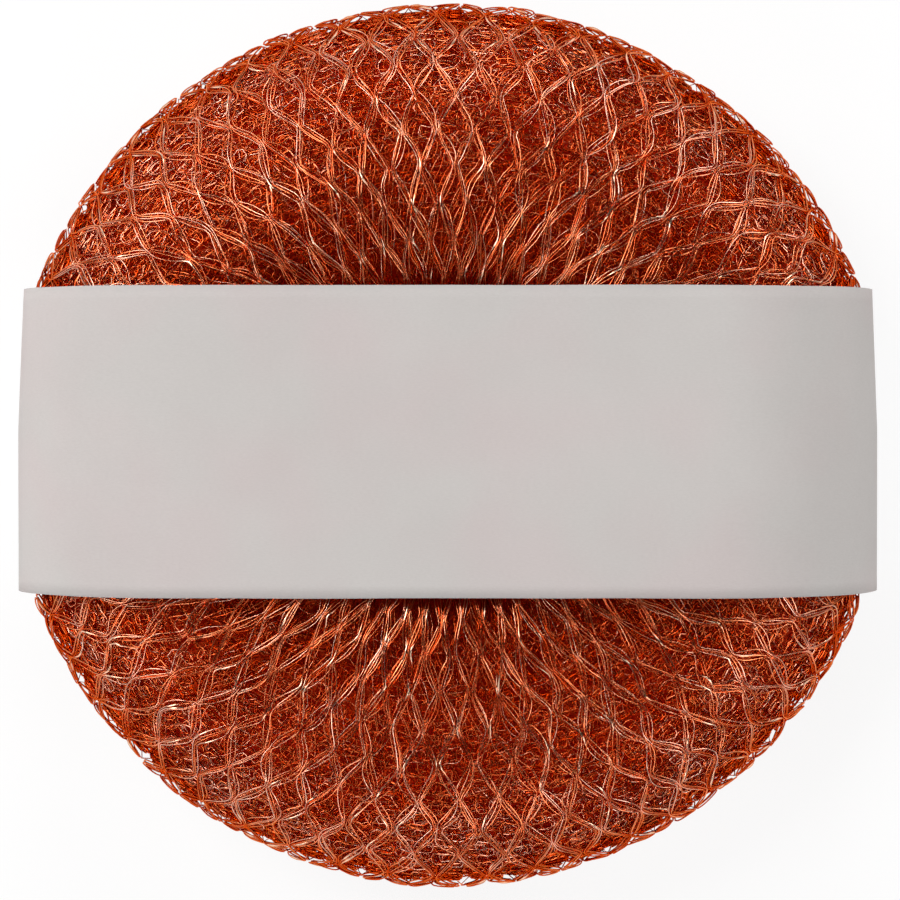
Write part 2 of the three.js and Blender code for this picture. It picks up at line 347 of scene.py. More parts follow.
# %% Draping a wire over the pad
SIDE_PRESS = 3.0 * MM
PRESS_EDGE = 22 * MM  # half of the width that the band presses on
PRESS_FADE = 11 * MM
DRIFT_SCALE = 80.0
DRIFT_ROUND = 2.0
DRIFT_ALONG = 3.0
DRIFT_DOWN = 0.8


def section_at(start, route, factor):
    sample = start.add("GeometryNodeSampleCurve", {"mode": "FACTOR", "use_all_curves": True}, {
        "Curves": route, "Factor": factor})
    return sample.more("Position").xyz(), sample.more("Tangent").xyz()


def drape(start, route, factor, angle, depth):
    """The place of a point, and the way that the surface above it faces."""
    (radius, _, height), (tangent_r, _, tangent_z) = section_at(start, route, factor)
    out_r = -tangent_z
    reach = radius - out_r * depth
    cosine = angle.math("COSINE")
    sine = angle.math("SINE")
    free_x = reach * cosine
    beyond = (free_x.math("ABSOLUTE") - CROWN_RADIUS) / (PAD_RADIUS - CROWN_RADIUS)
    beyond = beyond.math("MAXIMUM", 0.0)
    y = reach * sine
    pressed = ((PRESS_EDGE - y.math("ABSOLUTE")) / PRESS_FADE).remap(0.0, 1.0, 0.0, SIDE_PRESS)
    x = free_x - free_x.math("SIGN") * beyond * beyond * pressed
    place = start.pack(x, y, height - tangent_r * depth)
    return place, start.pack(out_r * cosine, out_r * sine, tangent_r)


def slow_drift(start, angle, along, wander):
    """How far the whole net has slipped at a point: round the pad, along the section and down."""
    x = angle.math("COSINE") * PAD_RADIUS
    y = angle.math("SINE") * PAD_RADIUS
    a, b, c = start.noise(start.pack(x, y, along), DRIFT_SCALE, out="Color").xyz()
    return (a - 0.5) * wander * DRIFT_ROUND, (b - 0.5) * wander * DRIFT_ALONG, c * wander * DRIFT_DOWN


def wire_copies(start, points, amount):
    line = start.add("GeometryNodeCurvePrimitiveLine")
    line = start.add("GeometryNodeResampleCurve", {"mode": "COUNT"}, {"Curve": line, "Count": points})
    return start.add("GeometryNodeDuplicateElements", {"domain": "SPLINE"}, {
        "Geometry": line, "Amount": amount})


def keep_number(start, wires, name, value):
    """Keep a number on the points of the wires, for the finish to read."""
    return start.add("GeometryNodeStoreNamedAttribute", {"data_type": "FLOAT", "domain": "POINT"}, {
        "Geometry": wires, "Name": name, "Value": value})


def chance(start, number, seed):
    return start.add("FunctionNodeRandomValue", {"data_type": "FLOAT"}, {
        "Min_001": 0.0, "Max_001": 1.0, "ID": number, "Seed": seed}, out="Value_001")


def wire_mesh(start, wires, facing, tilt, profile, scale):
    wires = start.add("GeometryNodeSetCurveNormal", {"mode": "FREE"}, {"Curve": wires, "Normal": facing})
    wires = start.add("GeometryNodeSetCurveTilt", {}, {"Curve": wires, "Tilt": tilt})
    mesh = start.add("GeometryNodeCurveToMesh", {}, {
        "Curve": wires, "Profile Curve": profile, "Scale": scale, "Fill Caps": True})
    return start.add("GeometryNodeSetShadeSmooth", {}, {"Geometry": mesh, "Shade Smooth": True})


def wire_profile(start, width, thickness):
    """Three sides are enough for a wire that is hardly wider than a pixel."""
    profile = start.add("GeometryNodeCurvePrimitiveCircle", {"mode": "RADIUS"}, {
        "Resolution": 3, "Radius": 0.5})
    return start.add("GeometryNodeTransform", {}, {
        "Geometry": profile, "Scale": start.pack(thickness, width, 1.0)})


# %% [markdown]
# The net. Each strand of the knit runs from the neck over the rim to the neck again, and leans to one
# neighbour and then to the other, so that two strands meet at a knot in every half row. A strand is four
# fine wires, close together at the knots and apart between them, and here and there a wire was rolled
# flatter and catches the light. Drawing this by hand would mean over four hundred curves; here one
# straight line is copied for each strand and bent by a formula, once for each wire of the strand.

# %% Lean and tone of a strand
LEG_STEP = 400.0  # more than the columns of a net, so that each leg has a number of its own
S_BEND = 0.35  # share of the S bend in the lean, the rest being straight
CALM_RADIUS = 22 * MM  # from here the painted shade on the wires lifts, and they get looser on the way out
SIDE_TURN = 0.37  # step from one wire of a strand to the next
WIRE_TONE = 0.35
TONE_SWING = 1.7
TONE_MIDDLE = 0.3
RIM_PAINTED_LIGHT = 0.1
RIM_PAINTED_SHADE = 0.45
RIM_PAINTED_SHADE_FROM = PAD_RADIUS * 0.92
RIM_PAINTED_SHADE_TO = PAD_RADIUS * 0.98


def strand_lean(share, column, size):
    """The lean, in slight S bends that touch at the knots, the way from them, and the leg's number."""
    row = share * size["Half rows"] + column + size["Phase"]
    beat = row.math("PINGPONG", 1.0)
    bend = beat.remap(0.0, 1.0, -0.5, 0.5, "SMOOTHSTEP")
    lean = ((beat - 0.5) * (1 - S_BEND) + bend * S_BEND) * size["Lean"]
    between = beat * (1 - beat) * 4
    return lean, between, row.math("FLOOR") * LEG_STEP + column


def strand_tone(own, ripple, radius, size):
    """Painted shade to the middle and at the very edge, dark against the floor; painted light on the rim.
    """
    wire = own + size["Side"] * SIDE_TURN
    # Painted shade, darker towards the middle and at the very edge; below zero near the rim it is painted
    # light.
    dull = radius.remap(CALM_RADIUS, PAD_RADIUS, size["Dull"], -RIM_PAINTED_LIGHT)
    dull = dull + radius.remap(RIM_PAINTED_SHADE_FROM, RIM_PAINTED_SHADE_TO, 0.0, RIM_PAINTED_SHADE)
    return wire.math("FRACT") * WIRE_TONE + (ripple - 0.5) * TONE_SWING + TONE_MIDDLE - dull


# %% The tree of the net
NET_COLUMNS = 110
NET_HALF_ROWS = 31.5
HOLLOW_EDGE = 46 * MM  # inside this the turns below sink away from the net
HOLLOW_WIDTH = 18 * MM
OWN_SLICE = 3.0  # sets the wires apart in the noise of their ruffle
LOOP_ROOM = 0.55  # widest loop, as a share of a column
LOOP_PHASE = 9.0
LOOP_UNEVEN = 1.5
CALM_LOOP = 0.2  # size of the loops near the middle, against those further out
STITCH_NECK = 0.4
CROWD_WIRES = 5.0  # a column narrower than so many wires makes them thinner
CALM_WIRES = 14.0  # and one narrower than so many keeps them straighter
KNOT_WIRES = 2.0
WIRE_PITCH = 0.7
KNOT_TURN = 2.399  # the golden angle: neighbours never lie equally deep
KNOT_DEPTH = 2.5  # in thicknesses of the wire
APART_SEED = 60
FLAT_SEED = 40
FLAT_SPREAD = 1.5
FLAT_LEVEL = 0.8
OWN_TILT = 1.2
RIM_SPREAD = 0.4


def strand_tree():
    tree, start, size = new_tree("knitted_strands", {
        "Columns": NET_COLUMNS, "Half rows": NET_HALF_ROWS, "Points": 210, "Phase": 0.0, "Seed": 1,
        "Side": 0.0, "Lean": 1.0, "Loop": 0.0, "Loop pitch": 4.5 * MM, "Sink": 0.0, "Hollow": 0.0,
        "Start": 0.0, "Splay": 0.7 * MM, "Bundle": 0.0, "Stray": 1.0, "Wander": 1.4 * MM,
        "Ruffle": 0.5 * MM, "Depth ruffle": 0.5 * MM, "Curl": 170.0, "Width": 0.20 * MM,
        "Thickness": 0.16 * MM, "Twist": 1.2, "Flats": 0.0, "Dull": 0.35, "Material": None,
    })
    route = start.add("GeometryNodeMeshToCurve", {}, {"Mesh": size["Geometry"]})
    copies = wire_copies(start, size["Points"], size["Columns"])
    column = copies.more(1)
    share = start.add("GeometryNodeSplineParameter").remap(0.0, 1.0, size["Start"], 1 - size["Start"])
    column_angle = 2 * math.pi / size["Columns"]
    base_angle = (column + 0.5) * column_angle
    along = share * section_length
    drift_round, drift_along, drift_down = slow_drift(start, base_angle, along, size["Wander"])

    # Each wire has its own ruffle, and a turn of the loops for the inner stitches.
    own = chance(start, column, size["Seed"])
    slice_of_noise = start.pack(along, own * OWN_SLICE, size["Side"] * size["Stray"])
    ripple_a, ripple_b, ripple_c = start.noise(slice_of_noise, size["Curl"], out="Color").xyz()
    (first_radius, _, _), _ = section_at(start, route, share)
    loop = (column_angle * first_radius * LOOP_ROOM).math("MINIMUM", size["Loop"])
    loop = loop * (ripple_b + 0.5) * first_radius.remap(CALM_RADIUS, HOLLOW_EDGE, CALM_LOOP, 1.0)
    swing = (along / size["Loop pitch"] + own * LOOP_PHASE + ripple_a * LOOP_UNEVEN) * (2 * math.pi)
    beside = size["Side"] * size["Bundle"]
    stitch = (swing * 2).math("SINE") * loop * STITCH_NECK
    moved = share + (drift_along + stitch + beside) / section_length
    (radius, _, _), _ = section_at(start, route, moved)

    # Sideways, a wire leans with its strand and keeps to its own side of it.
    lean, between, leg = strand_lean(share, column, size)
    apart = chance(start, leg, size["Seed"] + APART_SEED) * between
    cell = column_angle * radius
    crowd = (cell / (size["Width"] * CROWD_WIRES)).math("MINIMUM", 1.0)
    calm = (cell / (size["Width"] * CALM_WIRES)).math("MINIMUM", 1.0)
    wide = size["Width"] * crowd
    lateral = (lean * (cell - wide * KNOT_WIRES).math("MAXIMUM", 0.0)
               + size["Side"] * (wide * WIRE_PITCH + size["Splay"] * apart * calm)
               + (ripple_a - 0.5) * size["Ruffle"] * 2.0 * calm
               + drift_round * crowd
               + swing.math("COSINE") * loop + beside)
    angle = base_angle + lateral / radius

    # Depth below the surface: the wires of a knot lie over and under each other.
    over = (column * KNOT_TURN + size["Side"] * SIDE_TURN).math("FRACT")
    slack = ((HOLLOW_EDGE - radius) / HOLLOW_WIDTH).remap(0.0, 1.0, 0.0, size["Hollow"])
    depth = (size["Sink"] + slack + size["Thickness"] * (0.5 + over * KNOT_DEPTH)
             + ripple_b * size["Depth ruffle"] + drift_down)
    place, facing = drape(start, route, moved, angle, depth)
    bent = start.add("GeometryNodeSetPosition", {}, {"Geometry": copies, "Position": place})

    # A leg of the net is rolled flat by chance, and widest in its middle.
    picked = chance(start, leg, size["Seed"] + FLAT_SEED)
    flat = picked.math("LESS_THAN", size["Flats"]) * between.remap(0.7, 0.95, 0.0, 1.0)

    # What the finish reads is kept on the wires. Each gets its twist and its section, which is fullest at
    # the rim, where the wires lie least crowded.
    bent = keep_number(start, bent, "tone", strand_tone(own, ripple_c, first_radius, size))
    bent = keep_number(start, bent, "flat", flat)
    tilt = ((ripple_c - 0.5) * size["Twist"] * 2.0 + (own - 0.5) * OWN_TILT) * (1 - flat * FLAT_LEVEL)
    profile = wire_profile(start, size["Width"], size["Thickness"])
    rim = first_radius.remap(HOLLOW_EDGE, PAD_RADIUS, 0.0, 1.0)
    spread = 1 + flat * FLAT_SPREAD + rim * RIM_SPREAD
    mesh = wire_mesh(start, bent, facing, tilt, profile, crowd * spread)
    finish_tree(start, mesh, size["Material"])
    return tree


# %% The four wires of each strand
knitted_strands = strand_tree()
outer_net = [
    run_tree(knitted_strands, f"outer_net_wires_{k + 1}", section_mesh(), material=net_copper, seed=k + 1,
             side=k - 1.5, flats=0.08, dull=0.1)
    for k in range(4)
]

# %% [markdown]
# A knitted wire also passes sideways from stitch to stitch. Those courses go round the pad, through every
# knot of their row, and dip under the net between two knots, so that each knot looks like a small star.
# They could be pieces laid from knot to knot; one ring for each row, bent by the same drift as the
# strands, meets the knots just as well.

# %% The courses through the knots
COURSE_TONE = 0.45
COURSE_TILT = 3.0
SOFT_SWING = 1.5


def course_tree():
    tree, start, size = new_tree("courses", {
        "Columns": NET_COLUMNS, "Half rows": NET_HALF_ROWS, "First row": 7, "Rows": 18, "Points": 330,
        "Seed": 1, "Bow": 2.0 * MM, "Dip": 2.2 * MM, "Wander": 1.4 * MM, "Ruffle": 0.8 * MM,
        "Curl": 170.0, "Width": 0.16 * MM, "Thickness": 0.13 * MM, "Material": None,
    })
    route = start.add("GeometryNodeMeshToCurve", {}, {"Mesh": size["Geometry"]})
    copies = wire_copies(start, size["Points"], size["Rows"])
    row = copies.more(1) + size["First row"]
    angle = start.add("GeometryNodeSplineParameter").more("Index") / size["Points"] * (2 * math.pi)
    along = row / size["Half rows"] * section_length
    drift_round, drift_along, drift_down = slow_drift(start, angle, along, size["Wander"])
    (radius, _, _), _ = section_at(start, route, row / size["Half rows"])
    knot = (angle * size["Columns"] / (2 * math.pi) - row) / 2
    gap = knot.math("FRACT")
    between = gap * (1 - gap) * 4
    bow = chance(start, knot.math("FLOOR") + row * LEG_STEP, size["Seed"]) - 0.5
    slice_of_noise = start.pack(angle * radius, row * OWN_SLICE, size["Seed"])
    ripple_a, ripple_b, ripple_c = start.noise(slice_of_noise, size["Curl"], out="Color").xyz()
    moved = (along + drift_along + between * bow * 2 * size["Bow"]
             + (ripple_a - 0.5) * 2 * size["Ruffle"]) / section_length
    shifted = angle + drift_round / radius
    depth = between * size["Dip"] + size["Thickness"] * 2 + drift_down + ripple_b * size["Ruffle"]
    place, facing = drape(start, route, moved, shifted, depth)
    rings = start.add("GeometryNodeSetSplineCyclic", {}, {"Geometry": copies, "Cyclic": True})
    rings = start.add("GeometryNodeSetPosition", {}, {"Geometry": rings, "Position": place})
    rings = keep_number(start, rings, "tone", (ripple_c - 0.5) * SOFT_SWING + COURSE_TONE)
    profile = wire_profile(start, size["Width"], size["Thickness"])
    mesh = wire_mesh(start, rings, facing, bow * COURSE_TILT, profile, 1.0)
    finish_tree(start, mesh, size["Material"])
    return tree


courses = course_tree()
outer_net += [
    run_tree(courses, f"outer_net_courses_{k + 1}", section_mesh(), material=net_copper, seed=k + 21)
    for k in range(2)
]

# %% [markdown]
# Where the net is gathered, its wires fill the neck as a bundle, and their ends stand out a little at the
# bottom of each hollow. The bundle is a set of straight copies again, scattered over a disc and twisted.

# %% The gather
GATHER_TONE = 0.3
GATHER_STEP = 10 * MM
GATHER_SLICE = 0.7
SHORTEST_END = 0.8


def gather_tree():
    tree, start, size = new_tree("gather", {
        "Wires": 120, "Points": 14, "Seed": 31, "Radius": 2.6 * MM, "Reach": 9.5 * MM, "Spread": 0.9,
        "Ruffle": 1.6 * MM, "Curl": 220.0, "Width": 0.32 * MM, "Middle": 20 * MM, "Material": None,
    })
    copies = wire_copies(start, size["Points"], size["Wires"])
    wire = copies.more(1)
    up = start.add("GeometryNodeSplineParameter") * 2 - 1
    end = up.math("ABSOLUTE")
    spot = chance(start, wire, size["Seed"])
    radius = spot.math("SQRT") * size["Radius"] * (1 + end * end * end * size["Spread"])
    angle = chance(start, wire, size["Seed"] + 1) * (2 * math.pi) + up
    slice_of_noise = start.pack(up * GATHER_STEP, wire * GATHER_SLICE, 0.0)
    ripple_a, ripple_b, ripple_c = start.noise(slice_of_noise, size["Curl"], out="Color").xyz()
    reach = size["Reach"] * (SHORTEST_END + (1 - SHORTEST_END) * chance(start, wire, size["Seed"] + 2))
    place = start.pack(
        angle.math("COSINE") * radius + (ripple_a - 0.5) * size["Ruffle"],
        angle.math("SINE") * radius + (ripple_b - 0.5) * size["Ruffle"],
        size["Middle"] + up * reach,
    )
    bent = start.add("GeometryNodeSetPosition", {}, {"Geometry": copies, "Position": place})
    bent = keep_number(start, bent, "tone", (ripple_c - 0.5) * SOFT_SWING + GATHER_TONE)
    profile = wire_profile(start, size["Width"], size["Width"])
    mesh = wire_mesh(start, bent, start.pack(1.0, 0.0, 0.0), 0.0, profile, 1.0)
    finish_tree(start, mesh, size["Material"])
    return tree


gather = run_tree(gather_tree(), "outer_net_gather", bpy.data.meshes.new("gather"), middle=PAD_MIDDLE,
                  material=net_copper)
outer_net.append(gather)

# %% [markdown]
# The turn below is another net of the same knit, out of step with the first, so that its strands cross the
# gaps of the one above. The same tree makes it, with fewer columns, two wires to a strand and more
# ruffle.

# %% The second net
# Its tone carries more painted shade towards the middle than the net above.
second_net = [
    run_tree(knitted_strands, f"second_net_wires_{k + 1}", section_mesh(), material=knit_copper, seed=k + 5,
             side=side, phase=0.5, columns=104, sink=1.0 * MM, hollow=1.2 * MM, start=0.1, points=130,
             ruffle=1.4 * MM, wander=1.8 * MM, depth_ruffle=0.9 * MM, dull=0.22)
    for k, side in enumerate((-0.7, 0.7))
]

# %% [markdown]
# Under the nets lie the inner turns of the same stocking, crushed together until only their stitches show:
# row upon row of small loops, several wires side by side. The same tree makes them, with the lean taken out
# and loops put in. They lie close under the net at the rim and sink away from it towards the middle, where
# the face of the pad is darkest.

# %% The inner turns
INNER_TURNS = 2
BUNDLE = (-1.5, -0.5, 0.5, 1.5)
# Their tone carries still more painted shade towards the middle.
inner_turns = [
    run_tree(knitted_strands, f"inner_turn_{turn + 1}_wires_{k + 1}", section_mesh(), material=knit_copper,
             seed=turn + 11, side=side, bundle=0.38 * MM, stray=0.03, columns=78 + 2 * turn, points=300,
             lean=0.0, splay=0.0, loop=(1.6 + 0.3 * turn) * MM, loop_pitch=(3.4 + 0.5 * turn) * MM,
             sink=(0.8 + 1.0 * turn) * MM, hollow=(2.2 + 1.8 * turn) * MM, start=0.13 + 0.03 * turn,
             ruffle=0.7 * MM, depth_ruffle=0.45 * MM, wander=1.6 * MM, curl=150.0, twist=0.0,
             width=0.21 * MM, thickness=0.21 * MM)
    for turn in range(INNER_TURNS)
    for k, side in enumerate(BUNDLE)
]

# %% [markdown]
# Deeper still the wires can't be told apart. That depth is one turned ring with a closed inner wall and a
# lumpy surface. Its finish draws the wires: the contour lines of a noise are curly loops, so three of them
# together, pale on dark and raised by a bump, read as a tangle. The dark between them is painted shade.

# %% The half section of the mass
CORE_SINK = 3.4 * MM
CORE_HOLLOW = 7.5 * MM
CORE_HOLE = 5.05 * MM  # round the tie
CORE_LIP = 4.5 * MM  # drawn in above and below the tie
CORE_COLLAR = 3.3 * MM  # least height of a face above the middle
TIE_ROOM = 2.6 * MM  # half of the height that is kept for the tie
CORE_FACE_STEPS = 15
CORE_RIM_STEPS = 20


def core_sink(radius):
    """How deep the mass lies under the surface of the pad: most of all near the middle."""
    return CORE_SINK + CORE_HOLLOW * min(1.0, max(0.0, (HOLLOW_EDGE - radius) / HOLLOW_WIDTH))


def core_outline():
    """A closed half section (radius, height) over the front, the rim and the back, and in round the tie."""
    front = []
    for step in range(CORE_FACE_STEPS):
        radius = CORE_LIP + (CROWN_RADIUS - CORE_LIP) * step / CORE_FACE_STEPS
        t = (radius - NECK_RADIUS) / (CROWN_RADIUS - NECK_RADIUS)
        height = HALF_HEIGHT - DIMPLE_DEPTH * (1 - t) ** DIMPLE_CURVE - core_sink(radius)
        front.append((radius, max(height, CORE_COLLAR)))
    for step in range(CORE_RIM_STEPS + 1):
        angle = math.pi / 2 * (1 - step / CORE_RIM_STEPS)
        depth = core_sink(CROWN_RADIUS + (PAD_RADIUS - CROWN_RADIUS) * math.cos(angle))
        front.append((
            CROWN_RADIUS + (PAD_RADIUS - CROWN_RADIUS - depth) * math.cos(angle),
            (HALF_HEIGHT - depth) * math.sin(angle),
        ))
    back = [(radius, -height) for radius, height in reversed(front[:-1])]
    return front + back + [(CORE_HOLE, -TIE_ROOM), (CORE_HOLE, TIE_ROOM)]


# %% The mass of the roll
CORE_SPOKES = 160
CORE_LUMP = 0.8 * MM
LUMP_SCALE = 300
LUMP_REACH = 10 * MM  # nearer to the middle than this, the lumps get smaller


def press_sides(point):
    beyond = max(0.0, (abs(point.x) - CROWN_RADIUS) / (PAD_RADIUS - CROWN_RADIUS))
    pressed = SIDE_PRESS * min(1.0, max(0.0, (PRESS_EDGE - abs(point.y)) / PRESS_FADE))
    point.x -= math.copysign(pressed * beyond * beyond, point.x)
    return point


def turned_ring(name, outline, spokes, lump):
    """A closed half section turned round the pad's axis, with lumps."""
    points = []
    for k in range(spokes):
        angle = 2 * math.pi * k / spokes
        for radius, height in outline:
            point = Vector((radius * math.cos(angle), radius * math.sin(angle), height))
            swell = noise.noise(point * LUMP_SCALE) * lump
            point *= 1 + swell / max(point.length, LUMP_REACH)
            points.append(press_sides(point) + Vector((0, 0, PAD_MIDDLE)))
    n = len(outline)
    faces = []
    for k in range(spokes):
        here = k * n
        there = (k + 1) % spokes * n
        for i in range(n):
            ahead = (i + 1) % n
            faces.append((here + ahead, there + ahead, there + i, here + i))
    mesh = bpy.data.meshes.new(name)
    mesh.from_pydata(points, [], faces)
    return mesh


core = new_object("rolled_core_mass", turned_ring(
    "rolled_core_mass", core_outline(), CORE_SPOKES, CORE_LUMP))
print("mass of the roll:", len(core.data.polygons), "faces")

# %% The finish of the mass
TANGLE_SCALES = (260.0, 340.0, 430.0)
TANGLE_SHIFT = (0.31, 0.17, 0.05)
TANGLE_LINE = 0.035
TANGLE_RELIEF = 0.4 * MM
# Painted shade: the dark red of the depth between the wires.
PAINTED_DEEP_SHADE = (0.60, 0.016, 0.001)
TANGLE_COPPER = (0.92, 0.07, 0.008)


def tangle_finish():
    material, start, shader = new_finish("tangled_copper", Metallic=0.3, Specular_IOR_Level=0.1)
    place = start.add("ShaderNodeTexCoord", out="Object")
    lines = 0.0
    for k, scale in enumerate(TANGLE_SCALES):
        shift = tuple(k * step for step in TANGLE_SHIFT)
        contour = start.noise(start.vector("ADD", place, shift), scale, 1.0) - 0.5
        lines = contour.math("ABSOLUTE").remap(0.0, TANGLE_LINE, 1.0, 0.0) + lines
    lines = lines.math("MINIMUM", 1.0)
    colour = start.add("ShaderNodeValToRGB", {"stops": [
        (0.0, PAINTED_DEEP_SHADE), (1.0, TANGLE_COPPER)]}, {"Fac": lines})
    feed(material, shader, "Base Color", colour)
    feed(material, shader, "Roughness", lines.remap(0.0, 1.0, 0.9, 0.5))
    feed(material, shader, "Normal", start.add("ShaderNodeBump", {}, {
        "Strength": 0.6, "Distance": TANGLE_RELIEF, "Height": lines}))
    return material


tangled_copper = tangle_finish()
core.data.materials.append(tangled_copper)
print("finish of the mass:", tangled_copper.name)

# %% [markdown]
# Inside the tie, the gathered wires of the net are pressed into one lump. A short plug with the finish of
# the mass, painted shade and all, closes the neck there.

# %% The plug of the gather
PLUG_RADIUS = 3.8 * MM
PLUG_BORE = 0.02 * MM  # all but closed, so that the section stays a ring
PLUG_EDGE = 1.5 * MM
PLUG_CROWN = 1.9 * MM
PLUG_SPOKES = 24
PLUG_LUMP = 0.2 * MM
plug_outline = [
    (PLUG_BORE, PLUG_CROWN), (PLUG_RADIUS, PLUG_EDGE), (PLUG_RADIUS, -PLUG_EDGE), (PLUG_BORE, -PLUG_CROWN)]
plug = new_object("outer_net_plug", turned_ring("outer_net_plug", plug_outline, PLUG_SPOKES, PLUG_LUMP))
plug.data.materials.append(tangled_copper)
outer_net.append(plug)
print("plug of the gather:", len(plug.data.polygons), "faces")

# %% [markdown]
# The tie is one wire wound round the neck of the gather. A spiral curve with a round profile is enough.
# It has the turns of the solid, and a slight ruffle, because soft wire is never wound quite evenly.

# %% The tie
TIE_CURL = 400.0
TIE_RUFFLE = (0.4 * MM, 0.4 * MM, 0.2 * MM)


def tie_tree():
    tree, start, size = new_tree("tie_wire", {
        "Turns": 2.5, "Radius": 4.3 * MM, "Rise": 3.75 * MM, "Wire": 0.5 * MM, "Middle": 20 * MM,
        "Material": None,
    })
    spiral = start.add("GeometryNodeCurveSpiral", {}, {
        "Resolution": 40, "Rotations": size["Turns"], "Start Radius": size["Radius"],
        "End Radius": size["Radius"], "Height": size["Rise"]})
    place = start.add("GeometryNodeInputPosition")
    ruffle = start.vector("SUBTRACT", start.noise(place, TIE_CURL, 1.0, out="Color"), (0.5, 0.5, 0.5))
    ruffle = start.vector("MULTIPLY", ruffle, TIE_RUFFLE)
    lift = start.pack(0.0, 0.0, size["Middle"] - size["Rise"] / 2)
    spiral = start.add("GeometryNodeSetPosition", {}, {
        "Geometry": spiral, "Offset": start.vector("ADD", ruffle, lift)})
    profile = start.add("GeometryNodeCurvePrimitiveCircle", {"mode": "RADIUS"}, {
        "Resolution": 10, "Radius": size["Wire"]})
    mesh = start.add("GeometryNodeCurveToMesh", {}, {
        "Curve": spiral, "Profile Curve": profile, "Fill Caps": True})
    finish_tree(start, mesh, size["Material"])
    return tree


tie_copper = copper_finish("tie_copper", [
    (0.05, (0.70, 0.22, 0.08)), (0.95, (0.95, 0.45, 0.22))], roughness=0.28, coat=0.6)
tie = run_tree(tie_tree(), "centre_tie_wire", bpy.data.meshes.new("tie"), middle=PAD_MIDDLE,
               material=tie_copper)

# %% [markdown]
# The band is a strip of uncoated card. Its path is a stadium with rounded ends, and its two ends lap on
# the back. Real card is never quite flat, so a slow wave runs through it, and its cut edges are a little
# uneven. The strip is a grid along the path, given its thickness along the path's own normal.

# %% The path of the band
CARD = 0.4 * MM
SIDE_TRIM = 0.65 * MM  # the dressed sides stand this far inside the solid's
LAP_REACH = 16 * MM
FLAP_GAP = 0.2 * MM
TURN_FULLNESS = 2.05  # 2 would be an ellipse
TURN_STEPS = 40
FLAP_STEPS = 30
FACE_STEPS = 40

band_low, band_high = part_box("paper_band")
BAND_HALF = band_high.x - SIDE_TRIM - CARD / 2
BAND_TOP = band_high.z - CARD / 2
OUTER_FLAP = CARD / 2
INNER_FLAP = OUTER_FLAP + CARD + FLAP_GAP


def turn_point(angle):
    """A point of a squared-off turn, a little fuller than an ellipse, with both half axes 1."""
    power = 2 / TURN_FULLNESS
    cosine = math.cos(angle)
    sine = math.sin(angle)
    return math.copysign(abs(cosine) ** power, cosine), math.copysign(abs(sine) ** power, sine)


def side_turn(side, first_rise, last_rise):
    """Half a turn round the left side, -1, or the right side, 1, going clockwise."""
    points = []
    for k in range(TURN_STEPS + 1):
        across, up = turn_point(side * math.pi / 2 - math.pi * k / TURN_STEPS)
        rise = first_rise if k < TURN_STEPS / 2 else last_rise
        points.append((side * CROWN_RADIUS + (BAND_HALF - CROWN_RADIUS) * across, PAD_MIDDLE + rise * up))
    return points


def band_path():
    """Middle of the card (x, z) from the outer flap's end, round the left, the front and the right."""
    front_rise = BAND_TOP - PAD_MIDDLE
    path = []
    for k in range(FLAP_STEPS):
        path.append((LAP_REACH + (-CROWN_RADIUS - LAP_REACH) * k / FLAP_STEPS, OUTER_FLAP))
    path += side_turn(-1, PAD_MIDDLE - OUTER_FLAP, front_rise)
    path += [(-CROWN_RADIUS + 2 * CROWN_RADIUS * k / FACE_STEPS, BAND_TOP) for k in range(1, FACE_STEPS)]
    path += side_turn(1, front_rise, PAD_MIDDLE - INNER_FLAP)
    for k in range(1, FLAP_STEPS + 1):
        path.append((CROWN_RADIUS + (-LAP_REACH - CROWN_RADIUS) * k / FLAP_STEPS, INNER_FLAP))
    return [Vector((x, 0.0, z)) for x, z in path]


card_path = band_path()
strip_length = sum((b - a).length for a, b in zip(card_path, card_path[1:]))
print(f"card strip {strip_length / MM:.1f} mm long")

# %% The card of the band
BAND_TRIM = 0.13 * MM
BAND_SHIFT = 0.72 * MM
BAND_ROWS = 24
BAND_WAVE = 0.12 * MM
WAVE_SCALE = 28
WAVE_ABOVE = 3 * MM  # the lap on the back stays flat
EDGE_UNEVEN = 0.06 * MM
EDGE_SCALE = 90
TOP_TAPER = 0.8 * MM
TAPER_ABOVE = 2 * MM  # from here to the upper edge the sides lean in


def card_points(path):
    """Two points, outside and inside, for every row of the strip at every step of its path."""
    low = band_low.y + BAND_TRIM + BAND_SHIFT
    high = band_high.y - BAND_TRIM + BAND_SHIFT
    points = []
    for i, spot in enumerate(path):
        ahead = path[min(i + 1, len(path) - 1)] - path[max(i - 1, 0)]
        out = Vector((-ahead.z, 0.0, ahead.x)).normalized()
        for j in range(BAND_ROWS + 1):
            y = low + (high - low) * j / BAND_ROWS
            if j in (0, BAND_ROWS):
                y += noise.noise(Vector((spot.x, y * 3, spot.z)) * EDGE_SCALE) * EDGE_UNEVEN
            wave = 0.0
            if spot.z > WAVE_ABOVE:
                wave = noise.noise(Vector((spot.x, y, spot.z)) * WAVE_SCALE) * BAND_WAVE
            taper = TOP_TAPER * max(0.0, y - TAPER_ABOVE) / high * spot.x / band_high.x
            for face in (1, -1):
                points.append(spot + Vector((-taper, y, 0)) + out * (wave + face * CARD / 2))
    return points


def card_faces(steps):
    """The outside, the inside, both cut edges and both ends of the strip."""
    row = 2 * (BAND_ROWS + 1)
    last = row - 2
    faces = []
    for i in range(steps - 1):
        a = i * row
        b = a + row
        for p in range(0, last, 2):
            faces.append((a + p, b + p, b + p + 2, a + p + 2))
            faces.append((a + p + 1, a + p + 3, b + p + 3, b + p + 1))
        faces.append((a, a + 1, b + 1, b))
        faces.append((a + last, b + last, b + last + 1, a + last + 1))
    for p in range(0, last, 2):
        e = (steps - 1) * row + p
        faces.append((p, p + 2, p + 3, p + 1))
        faces.append((e, e + 1, e + 3, e + 2))
    return faces


